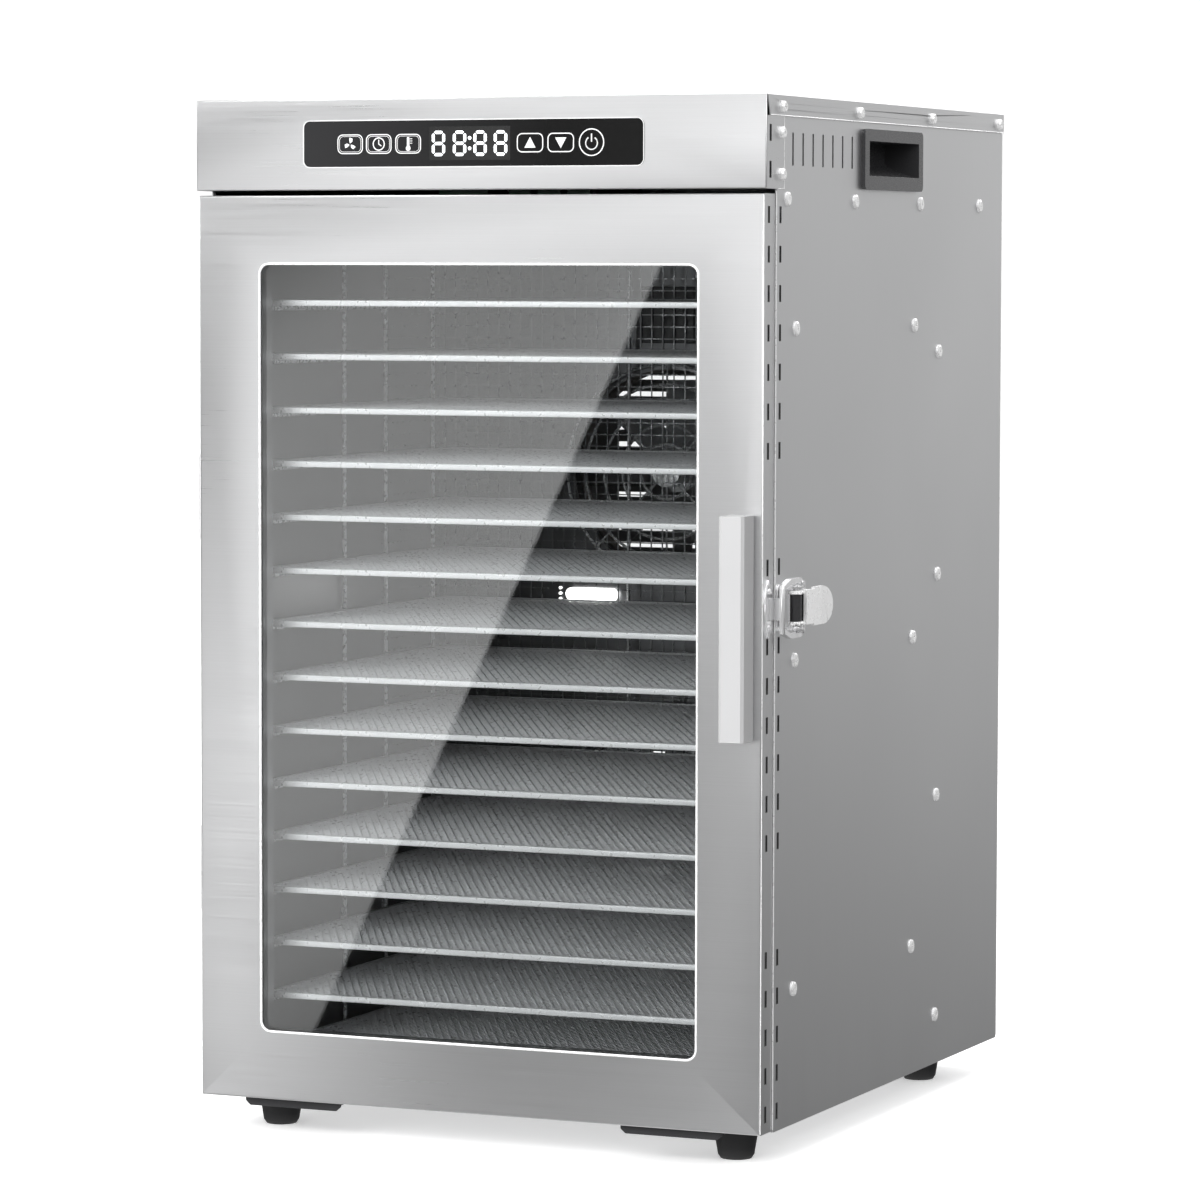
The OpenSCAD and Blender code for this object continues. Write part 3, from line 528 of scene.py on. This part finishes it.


# Dark bands on the outer faces round every slot: painted shade of the openings
for side, mirror in (("left", True), ("right", False)):
    build = Build()
    paint_slot_shade(build, mirror, SIDE_FACE, SLOT_Y, SLOT_HEIGHTS)
    paint_slot_shade(build, mirror, LID_FACE, FASCIA_SLOT_Y, FASCIA_SLOT_HEIGHTS)
    build.finish("slot_shade_bands_" + side, "cabinet", "slot_black", smooth=False)
    build = Build()
    paint_slot_shade(build, mirror, DOOR_FACE, DOOR_SLOT_Y, SLOT_HEIGHTS)
    build.finish("door_slot_lips_" + side, "door", "slot_black", smooth=False)


# ---- Window trim ----------------------------------------------------------

WINDOW_LO = (52.25, 52.3)
WINDOW_HI = (405.75, 628.3)
WINDOW_RADIUS = 8

# The window hem is drawn in the near-white material as well: a painted highlight round the window
hem_turns = [2 * math.pi * k / 10 for k in range(10)]
hem_section = [(1.0 * math.cos(t), 0.6 + 1.0 * math.sin(t)) for t in hem_turns]
build = Build()
sweep_section(build, WINDOW_LO, WINDOW_HI, WINDOW_RADIUS, hem_section, "y")
build.finish("window_hem", "door", "painted_highlight_steel")


def edge(build, mirror, points, radius):
    """Free edge of a folded sheet, in the near-white highlight material: a painted highlight along the edge.
    """
    build.tube([(side_x(x, mirror), y, z) for x, y, z in points], radius, 8)


for side, mirror in (("left", True), ("right", False)):
    build = Build()
    edge(build, mirror, [(457.9, 7.5, 735.1), (457.9, 521.5, 735.1)], 0.4)
    edge(build, mirror, [(457.9, 34.4, 735), (457.9, 34.4, 682.6), (457.9, 23, 682.6)], 0.4)
    edge(build, mirror, [(456.6, 22.8, 2), (456.6, 22.8, 681)], 0.6)
    edge(build, mirror, [(456.7, 520.7, 2), (456.7, 520.7, 734)], 0.5)
    build.finish("sheet_edges_" + side, "cabinet", "painted_highlight_steel")
    build = Build()
    edge(build, mirror, [(455.7, 0.9, 2), (455.7, 0.9, 678)], 0.5)
    build.finish("door_edge_" + side, "door", "painted_highlight_steel")


# ---- Trays ----------------------------------------------------------------

MESH_X = 6.6
MESH_Y = 12.0
STRAND_W = 1.05
STRAND_T = 0.7
STRAND_TILT = 0.35
FLOOR_RISE = 0.9


def tray_mesh(build, lo, hi):
    """Rim wires and the expanded-metal floor of one tray."""
    rim = (hi.z - lo.z) / 2
    mid = (hi.z + lo.z) / 2
    x0, x1, y0, y1 = lo.x + rim, hi.x - rim, lo.y + rim, hi.y - rim
    section = [(out, mid + up) for out, up in rounded(-rim, -rim, rim, rim, 0.7, 3)]
    sweep_section(build, (x0, y0), (x1, y1), 3.5, section)
    cols = round((x1 - x0) / MESH_X)
    rows = round((y1 - y0) / MESH_Y)
    dx, dy = (x1 - x0) / cols / 2, (y1 - y0) / rows / 2
    for j in range(2 * rows):
        for i in range(j % 2, 2 * cols + 1, 2):
            x, y = x0 + i * dx, y0 + j * dy
            for step in (-1, 1):
                if 0 <= i + step <= 2 * cols:
                    lift = STRAND_TILT * step
                    start = (x, y, mid + FLOOR_RISE - lift)
                    end = (x + step * dx, y + dy, mid + FLOOR_RISE + lift)
                    build.strip(start, end, STRAND_W, STRAND_T)


TRAYS = sorted(n for n in frame["nodes"] if n.startswith("tray_"))
first_lo = node_box(TRAYS[0])[0]
for name in TRAYS:
    lo, hi = node_box(name)
    if name == TRAYS[0]:
        build = Build()
        tray_mesh(build, lo, hi)
        piece = build.finish(name + "_wire", name, "tray_mesh")
        tray_data = piece.data
    else:
        piece = bpy.data.objects.new(name + "_wire", tray_data)
        bpy.context.scene.collection.objects.link(piece)
        piece.location = Vector((0, 0, lo.z - first_lo.z)) * MM
        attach(piece, name)
    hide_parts(name)


# ---- Rear screen, stays and fan guards ------------------------------------

SCREEN_PITCH = 9.6
SCREEN_Y = 357.8
SCREEN_HALF_WIRE = 0.45
SCREEN_ROWS = 67
SCREEN_Z = (18, 664)
CHAMBER_X = (26, 432)
STAY_DX = 30.5
FAN_X = 229
FAN_Z = (190, 463)

# The screen is cut out round the lamp
lamp_lo, lamp_hi = node_box("interior_lamp")
gap_x = (lamp_lo.x - 12, lamp_hi.x + 4)
gap_z = (lamp_lo.z - 3, lamp_hi.z + 3)

build = Build()
for k in range(-20, 21):
    x = FAN_X + SCREEN_PITCH * k
    runs = [(SCREEN_Z[0], gap_z[0]), (gap_z[1], SCREEN_Z[1])] if gap_x[0] < x < gap_x[1] else [SCREEN_Z]
    for z0, z1 in runs:
        lo = (x - SCREEN_HALF_WIRE, SCREEN_Y - SCREEN_HALF_WIRE, z0)
        build.block(lo, (x + SCREEN_HALF_WIRE, SCREEN_Y + SCREEN_HALF_WIRE, z1))
for k in range(SCREEN_ROWS):
    z = 22 + SCREEN_PITCH * k
    runs = [(CHAMBER_X[0], gap_x[0]), (gap_x[1], CHAMBER_X[1])] if gap_z[0] < z < gap_z[1] else [CHAMBER_X]
    for x0, x1 in runs:
        lo = (x0, SCREEN_Y + SCREEN_HALF_WIRE, z - SCREEN_HALF_WIRE)
        build.block(lo, (x1, SCREEN_Y + 1.3, z + SCREEN_HALF_WIRE))
# Short wires along both walls
for x in (CHAMBER_X[0] + 0.6, CHAMBER_X[1] - 0.6):
    for k in range(SCREEN_ROWS):
        z = 22 + SCREEN_PITCH * k
        build.block((x - 0.4, 262, z - 0.4), (x + 0.4, SCREEN_Y, z + 0.4))
screen = build.finish("rear_screen", "cabinet", "grid_steel", smooth=False)

build = Build()
for x in (FAN_X - STAY_DX, FAN_X + STAY_DX):
    build.tube([(x, 360.9, 20), (x, 360.9, 660)], 1.5, 12)
for z in FAN_Z:
    for radius in range(22, 87, 16):
        loop = [(x, 365, height) for x, height in circle(FAN_X, z, radius, 64)]
        build.tube(loop, 1.2, 8, closed=True)
    for k in range(8):
        t = math.pi * k / 4
        tip = (FAN_X + 88 * math.cos(t), 366.7, z + 88 * math.sin(t))
        build.tube([(FAN_X, 366.7, z), tip], 0.9, 8)
        foot = (FAN_X + 86.5 * math.cos(t), z + 86.5 * math.sin(t))
        build.tube([(foot[0], 366.7, foot[1]), (foot[0], 371, foot[1])], 0.9, 8)
    build.plate(circle(FAN_X, z, 12), 364, 366)
build.finish("guards_and_stays", "cabinet", "wire_steel")
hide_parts("fan_guards")

# ---- Glowing dots beside the interior lamp: painted glints ----------------

build = Build()
# Three small discs in the glowing lens material: painted glints on the partition's perforations
for z in (358.6, 363, 367.4):
    build.plate(circle(134.5, z, 1.1, 12), 369.5, 371)
build.finish("painted_glint_dots", "cabinet", "lamp_lens")

# ---- Control panel print --------------------------------------------------

OVERLAY_LO, OVERLAY_HI = node_box("control_overlay")
PRINT_Y = OVERLAY_LO.y
INK = (PRINT_Y - 0.12, PRINT_Y + 0.1)
LIT = (PRINT_Y - 0.16, PRINT_Y)
KEY_Z = 716.3
FAN_KEY_X, TIMER_KEY_X, HEAT_KEY_X = 128.2, 151.6, 175.6
UP_KEY_X, DOWN_KEY_X, POWER_KEY_X = 273.6, 298, 322.3


def key_outline(build, x, half_w, half_h, radius, width):
    def outline(w, h, r):
        return rounded(x - w, KEY_Z - h, x + w, KEY_Z + h, r)

    outer = outline(half_w, half_h, radius)
    inner = outline(half_w - width, half_h - width, radius - width)
    build.band(outer, inner, *INK)


def arc(cx, cz, radius, start, end, steps=20):
    turns = [math.radians(start + (end - start) * k / steps) for k in range(steps + 1)]
    return [(cx + radius * math.cos(t), cz + radius * math.sin(t)) for t in turns]


def stroke(build, points, width):
    """Flat printed line along (x, z) points."""
    for (x0, z0), (x1, z1) in zip(points, points[1:]):
        way = Vector((x1 - x0, z1 - z0)).normalized() * width / 2
        side = Vector((-way.y, way.x))
        a, b = Vector((x0, z0)) - way * 0.4, Vector((x1, z1)) + way * 0.4
        build.plate([tuple(p) for p in (a - side, b - side, b + side, a + side)], *INK)


build = Build()
for x in (FAN_KEY_X, TIMER_KEY_X, HEAT_KEY_X):
    key_outline(build, x, 10.4, 7.2, 4.2, 0.7)
    key_outline(build, x, 8.9, 5.8, 3.2, 0.3)
for x in (UP_KEY_X, DOWN_KEY_X):
    key_outline(build, x, 10.5, 7, 4.2, 0.75)
for x, up in ((UP_KEY_X, 1), (DOWN_KEY_X, -1)):
    tip = [(x - 4.4, KEY_Z - 3.6 * up), (x + 4.4, KEY_Z - 3.6 * up), (x, KEY_Z + 4.2 * up)]
    build.plate(tip, *INK)
# Fan key: a three-bladed fan
for k in range(3):
    t = math.radians(90 + 120 * k)
    blade = [(FAN_KEY_X + r * math.cos(t + a), KEY_Z + r * math.sin(t + a)) for r, a in
             ((0.8, -0.3), (2.6, -0.75), (4.5, -0.45), (4.9, 0.1), (3.0, 0.25), (0.8, 0.3))]
    build.plate(blade, *INK)
# Timer key: a clock with two hands
build.band(circle(TIMER_KEY_X, KEY_Z, 4.9), circle(TIMER_KEY_X, KEY_Z, 4.1), *INK)
stroke(build, [(TIMER_KEY_X, KEY_Z + 3), (TIMER_KEY_X, KEY_Z), (TIMER_KEY_X + 2, KEY_Z - 1.4)], 0.8)
# Heat key: a thermometer
build.plate(circle(HEAT_KEY_X, KEY_Z - 3.3, 1.9), *INK)
stem = rounded(HEAT_KEY_X - 1, KEY_Z - 3, HEAT_KEY_X + 1, KEY_Z + 5, 0.95)
build.plate(stem, PRINT_Y - 0.13, PRINT_Y + 0.09)
for k in range(3):
    stroke(build, [(HEAT_KEY_X + 1.7, KEY_Z + 0.4 + 1.6 * k), (HEAT_KEY_X + 3.2, KEY_Z + 0.4 + 1.6 * k)], 0.5)
# Power key: a ring with the usual power symbol
build.band(circle(POWER_KEY_X, KEY_Z, 10), circle(POWER_KEY_X, KEY_Z, 9.2), *INK)
stroke(build, arc(POWER_KEY_X, KEY_Z - 0.6, 4.6, 125, 415), 0.9)
stroke(build, [(POWER_KEY_X, KEY_Z + 0.6), (POWER_KEY_X, KEY_Z + 6)], 0.9)
outer = rounded(OVERLAY_LO.x, OVERLAY_LO.z, OVERLAY_HI.x, OVERLAY_HI.z, 5.5)
inner = rounded(OVERLAY_LO.x + 0.6, OVERLAY_LO.z + 0.6, OVERLAY_HI.x - 0.6, OVERLAY_HI.z - 0.6, 4.9)
build.band(outer, inner, PRINT_Y - 0.1, PRINT_Y + 0.1)
build.finish("control_print", "cabinet", "print_white", smooth=False)

build = Build()
build.plate([(192.8, 704.1), (257.8, 704.1), (257.8, 728.7), (192.8, 728.7)], PRINT_Y - 0.08, PRINT_Y + 0.1)
build.finish("display_window", "cabinet", "display_black", smooth=False)


def digit(build, cx):
    """Seven lit segments."""
    w, h, t = 4.2, 8.1, 1.1
    bars = [((-w, h), (w, h)), ((-w, 0), (w, 0)), ((-w, -h), (w, -h))]
    bars += [((x, z), (x, z + h)) for x in (-w, w) for z in (-h, 0)]
    for (x0, z0), (x1, z1) in bars:
        way = Vector((x1 - x0, z1 - z0)).normalized()
        side = Vector((-way.y, way.x)) * t
        a = Vector((cx + x0, KEY_Z + z0)) + way * 0.7
        b = Vector((cx + x1, KEY_Z + z1)) - way * 0.7
        c, d = a + way * t, b - way * t
        shape = [a, c - side, d - side, b, d + side, c + side]
        build.plate([tuple(p) for p in shape], *LIT)


build = Build()
for cx in (200.2, 217.2, 233.7, 250.1):
    digit(build, cx)
for z in (720.2, 712.6):
    build.plate(circle(225.3, z, 1.3, 16), *LIT)
build.finish("display_digits", "cabinet", "digit_light", smooth=False)

# ---- Latch rollers and bumper ---------------------------------------------

LATCH_X = 457
LATCH_Z = 381
build = Build()
build.tube([(LATCH_X + 10, 38, LATCH_Z - 9.8), (LATCH_X + 10, 38, LATCH_Z + 9.8)], 4.2, 20)
build.block((LATCH_X + 1.5, 26.5, LATCH_Z - 13), (LATCH_X + 4.2, 33, LATCH_Z + 13))
build.finish("latch_roller", "cabinet", "black_plastic", bevel=0.4)
build = Build()
build.tube([(LATCH_X + 9.2, 49.5, LATCH_Z - 9.9), (LATCH_X + 9.2, 49.5, LATCH_Z + 9.9)], 3, 20)
build.finish("lever_roller", "latch_lever", "black_plastic")

# ---- Studio ---------------------------------------------------------------

def stage_object(name, mesh, material):
    thing = bpy.data.objects.new(name, mesh)
    bpy.context.scene.collection.objects.link(thing)
    mesh.materials.append(material)
    return thing


FLOOR_R = 6
BEND_R = 2.5
WALL_TOP = 7


def sweep():
    """Pale paper floor that curves up into a round wall. It stays out of the steel's reflections."""
    bend = [math.radians(9 * k) for k in range(1, 11)]
    profile = [(0.01, 0), (2, 0), (FLOOR_R, 0)]
    profile += [(FLOOR_R + BEND_R * math.sin(t), BEND_R - BEND_R * math.cos(t)) for t in bend]
    profile += [(FLOOR_R + BEND_R, WALL_TOP)]
    turns = 96
    bm = bmesh.new()
    rows = []
    for radius, height in profile:
        angles = [2 * math.pi * k / turns for k in range(turns)]
        rows.append([bm.verts.new((radius * math.cos(t), radius * math.sin(t), height)) for t in angles])
    bm.faces.new(rows[0])
    for a, b in zip(rows, rows[1:]):
        for k in range(turns):
            j = (k + 1) % turns
            bm.faces.new((a[k], b[k], b[j], a[j]))
    bmesh.ops.recalc_face_normals(bm, faces=bm.faces)
    mesh = bpy.data.meshes.new("floor")
    bm.to_mesh(mesh)
    bm.free()
    mesh.shade_smooth()
    s = Shader("floor_paper", Roughness=0.9, Emission_Strength=0.34)
    s.link(s.blend(s.noise((2, 2, 2)), (0.90, 0.90, 0.90), (0.92, 0.92, 0.92)), "Base Color")
    s.main.inputs["Emission Color"].default_value = (1, 1, 1, 1)
    floor = stage_object("floor", mesh, s.material)
    floor.visible_glossy = False
    floor.visible_diffuse = False
    floor.visible_shadow = False


sweep()


def studio_world():
    """Soft surroundings: a large bright screen in front, a dimmer one behind at the right, a white floor."""
    world = bpy.data.worlds.new("studio")
    bpy.context.scene.world = world
    world.use_nodes = True
    tree = world.node_tree
    tree.nodes.clear()
    out = tree.nodes.new("ShaderNodeOutputWorld")
    background = tree.nodes.new("ShaderNodeBackground")
    coordinates = tree.nodes.new("ShaderNodeTexCoord")

    def combine(operation, a, b):
        made = tree.nodes.new("ShaderNodeMath")
        made.operation = operation
        tree.links.new(a, made.inputs[0])
        tree.links.new(b, made.inputs[1])
        return made.outputs[0]

    def along(direction, start, end, low, high):
        """Smooth step of how far a ray points along a direction."""
        dot = tree.nodes.new("ShaderNodeVectorMath")
        dot.operation = "DOT_PRODUCT"
        tree.links.new(coordinates.outputs["Generated"], dot.inputs[0])
        dot.inputs[1].default_value = direction
        made = tree.nodes.new("ShaderNodeMapRange")
        made.interpolation_type = "SMOOTHSTEP"
        tree.links.new(dot.outputs["Value"], made.inputs["Value"])
        for socket, value in (("From Min", start), ("From Max", end), ("To Min", low), ("To Max", high)):
            made.inputs[socket].default_value = value
        return made.outputs["Result"]

    front = along((0, -1, 0), -0.1, 0.4, 0.0, 1.0)
    front_height = along((-0.5, 0, 1), 0.0, 0.13, 0.2, 3.1)
    front_corner = along((-1, 0, 1.2), 0.425, 0.5, 1.0, 0.0)
    front_top = along((0, 0, 1), -0.04, 0.03, 1.0, 0.84)
    rear_side = along((1, 0, 0), 0.29, 0.39, 1.9, 0.6)
    rear = combine("MULTIPLY", along((0, 1, 0), -0.4, 0.1, 0.0, 1.0), rear_side)
    rear_height = along((0, 0, 1), -0.225, -0.02, 0.07, 0.66)
    floor = along((0, 0, -1), 0.35, 0.75, 0.0, 0.8)
    front_level = combine("MULTIPLY", front, front_top)
    front_shape = combine("MULTIPLY", front_height, front_corner)
    total = combine("MULTIPLY", front_level, front_shape)
    total = combine("ADD", total, combine("MULTIPLY", rear, rear_height))
    total = combine("ADD", total, floor)
    tree.links.new(total, background.inputs["Strength"])
    tree.links.new(background.outputs[0], out.inputs[0])


studio_world()


def softbox(name, place, target, size, watts):
    data = bpy.data.lights.new(name, "AREA")
    data.shape = "RECTANGLE"
    data.size, data.size_y = size
    data.energy = watts
    lamp = bpy.data.objects.new(name, data)
    bpy.context.scene.collection.objects.link(lamp)
    lamp.location = place
    lamp.rotation_euler = (Vector(target) - Vector(place)).to_track_quat("-Z", "Y").to_euler()
    lamp.visible_camera = False
    return lamp


CENTRE = (0, 0, 0.4)
softbox("key", (-2.4, -3.2, 2.6), CENTRE, (1.6, 1.6), 60)
softbox("fill", (3.4, -1.4, 2.0), CENTRE, (1.8, 1.8), 35)
softbox("rear", (1.2, 3.6, 2.4), CENTRE, (1.8, 1.8), 35)
softbox("overhead", (0, 0, 4.6), CENTRE, (5, 5), 170)
softbox("tray_fill", (-0.9, -3.4, 1.5), CENTRE, (1.6, 1.6), 120).visible_glossy = False


def glass_shade():
    """Dark flag that the door glass mirrors at its right, below a slanting edge."""
    glass_y = node_box("door_glass")[0].y
    mirrored = Vector((CAMERA_PLACE[0], 2 * glass_y - CAMERA_PLACE[1], CAMERA_PLACE[2]))
    flag_y = -1300

    def seen_in_glass(x, z):
        way = Vector((x, glass_y, z)) - mirrored
        return mirrored + way * ((flag_y - mirrored.y) / way.y)

    bm = bmesh.new()
    outline = [(381, 640), (440, 640), (440, 20), (78, 20)]
    bm.faces.new([bm.verts.new(at(*seen_in_glass(x, z))) for x, z in outline])
    mesh = bpy.data.meshes.new("glass_flag")
    bm.to_mesh(mesh)
    bm.free()
    flag = stage_object("glass_flag", mesh, moulded("flag_cloth", (0.02, 0.02, 0.02), 0.9))
    flag.visible_camera = False
    flag.visible_diffuse = False
    flag.visible_shadow = False


glass_shade()
